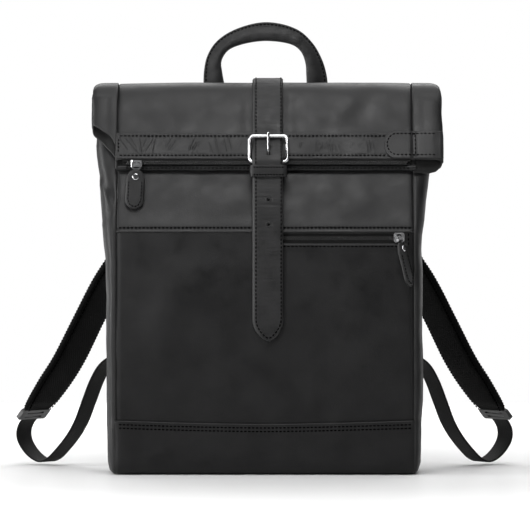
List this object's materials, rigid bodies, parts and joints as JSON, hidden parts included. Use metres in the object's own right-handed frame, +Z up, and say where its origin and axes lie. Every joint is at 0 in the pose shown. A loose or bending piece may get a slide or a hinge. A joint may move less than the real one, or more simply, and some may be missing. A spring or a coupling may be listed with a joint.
{
  "type": "roll-top leather backpack",
  "caption": "Soft leather backpack with a zipped mouth folded to the front, closed by a long strap and a prong buckle, with a carrying handle and padded shoulder straps.",
  "frame": {"origin": "middle of the flat underside that the bag stands on", "axes": "+X to the right as seen from the front, -Y out of the front with the buckle and +Y out of the back with the shoulder straps, +Z up to the handle"},
  "size_m": [0.5234, 0.2276, 0.4605],
  "materials": {
    "leather": "smooth black leather with a soft sheen",
    "edge_leather": "black leather strap, painted edges, dark stitching",
    "lining": "plain woven lining",
    "mesh": "matt black padded air mesh",
    "webbing": "black ribbed webbing",
    "zip_tape": "black woven zip tape",
    "zip_coil": "black nylon coil",
    "board": "stiff plastic board",
    "plastic": "black moulded plastic",
    "nickel": "polished nickel plate"
  },
  "bodies": {
    "bag": {"base_panel": "leather", "base_board": "board", "front_base_band": "leather", "front_pocket_panel": "leather", "front_upper_panel": "leather", "side_gusset_left": "leather", "side_gusset_right": "leather", "back_panel": "leather", "back_pads": "mesh", "back_yoke": "leather", "corner_tab_left": "edge_leather", "corner_tab_right": "edge_leather", "lining": "lining", "laptop_divider": "lining", "pocket_bag": "lining", "pocket_zip_tape": "zip_tape", "pocket_zip_coil": "zip_coil", "closure_strap_root": "edge_leather", "handle_ends": "edge_leather", "strap_root_left": "mesh", "strap_root_right": "mesh", "webbing_end_left": "webbing", "webbing_end_right": "webbing"},
    "flap": {"flap_outer_panel": "leather", "flap_inner_panel": "leather", "mouth_band": "edge_leather", "flap_gusset_left": "leather", "flap_gusset_right": "leather", "mouth_tab": "edge_leather", "mouth_zip_tape": "zip_tape", "mouth_zip_coil": "zip_coil", "closure_strap_upper": "edge_leather"},
    "closure_tail": {"closure_strap_tail": "edge_leather"},
    "buckle_base": {"buckle_strap": "edge_leather", "strap_keeper": "edge_leather"},
    "buckle": {"buckle_frame": "nickel"},
    "prong": {"buckle_prong": "nickel"},
    "mouth_zip_slider": {"mouth_slider": "nickel"},
    "mouth_zip_pull": {"mouth_pull_ring": "nickel", "mouth_pull_tab": "edge_leather", "mouth_pull_rivet": "nickel"},
    "pocket_zip_slider": {"pocket_slider": "nickel"},
    "pocket_zip_pull": {"pocket_pull_ring": "nickel", "pocket_pull_tab": "edge_leather", "pocket_pull_rivet": "nickel"},
    "carry_handle": {"handle": "edge_leather"},
    "shoulder_strap_left": {"strap_pad_left": "mesh", "strap_webbing_left": "webbing", "ladder_lock_left": "plastic"},
    "shoulder_strap_right": {"strap_pad_right": "mesh", "strap_webbing_right": "webbing", "ladder_lock_right": "plastic"}
  },
  "joints": [
    {"name": "flap_unfold", "type": "hinge", "parent": "bag", "child": "flap", "pos_m": [0, 0.0055, 0.3905], "axis": [-1, 0, 0], "range_deg": [0, 150], "deforming": ["closure_strap_upper"]},
    {"name": "closure_tail_swing", "type": "hinge", "parent": "flap", "child": "closure_tail", "pos_m": [0.004, -0.04995, 0.2963], "axis": [-1, 0, 0], "range_deg": [0, 60], "deforming": ["closure_strap_tail"]},
    {"name": "buckle_strap_swing", "type": "hinge", "parent": "bag", "child": "buckle_base", "pos_m": [0.004, -0.053, 0.2448], "axis": [1, 0, 0], "range_deg": [0, 150]},
    {"name": "buckle_swing", "type": "hinge", "parent": "buckle_base", "child": "buckle", "pos_m": [0.004, -0.0424, 0.3136], "axis": [1, 0, 0], "range_deg": [0, 35]},
    {"name": "prong_swing", "type": "hinge", "parent": "buckle", "child": "prong", "pos_m": [0.004, -0.0424, 0.3136], "axis": [1, 0, 0], "range_deg": [0, 60]},
    {"name": "mouth_zip_slide", "type": "slide", "parent": "flap", "child": "mouth_zip_slider", "axis": [1, 0, 0], "range_m": [0, 0.097]},
    {"name": "mouth_pull_swing", "type": "hinge", "parent": "mouth_zip_slider", "child": "mouth_zip_pull", "pos_m": [-0.1285, -0.04124, 0.31258], "axis": [-1, 0, 0], "range_deg": [0, 85]},
    {"name": "pocket_zip_slide", "type": "slide", "parent": "bag", "child": "pocket_zip_slider", "axis": [-1, 0, 0], "range_m": [0, 0.1]},
    {"name": "pocket_pull_swing", "type": "hinge", "parent": "pocket_zip_slider", "child": "pocket_zip_pull", "pos_m": [0.1345, -0.05735, 0.2375], "axis": [-1, 0, 0], "range_deg": [0, 75]},
    {"name": "handle_swing", "type": "hinge", "parent": "bag", "child": "carry_handle", "pos_m": [0.002, 0.0576, 0.372], "axis": [-1, 0, 0], "range_deg": [0, 75]},
    {"name": "strap_left_swing", "type": "hinge", "parent": "bag", "child": "shoulder_strap_left", "pos_m": [-0.145, 0.069, 0.165], "axis": [0, 0, -1], "range_deg": [0, 70]},
    {"name": "strap_right_swing", "type": "hinge", "parent": "bag", "child": "shoulder_strap_right", "pos_m": [0.145, 0.069, 0.165], "axis": [0, 0, 1], "range_deg": [0, 70]}
  ],
  "couplings": [
    {"joint": "buckle_strap_swing", "follows": "flap_unfold", "ratio": 1}
  ]
}
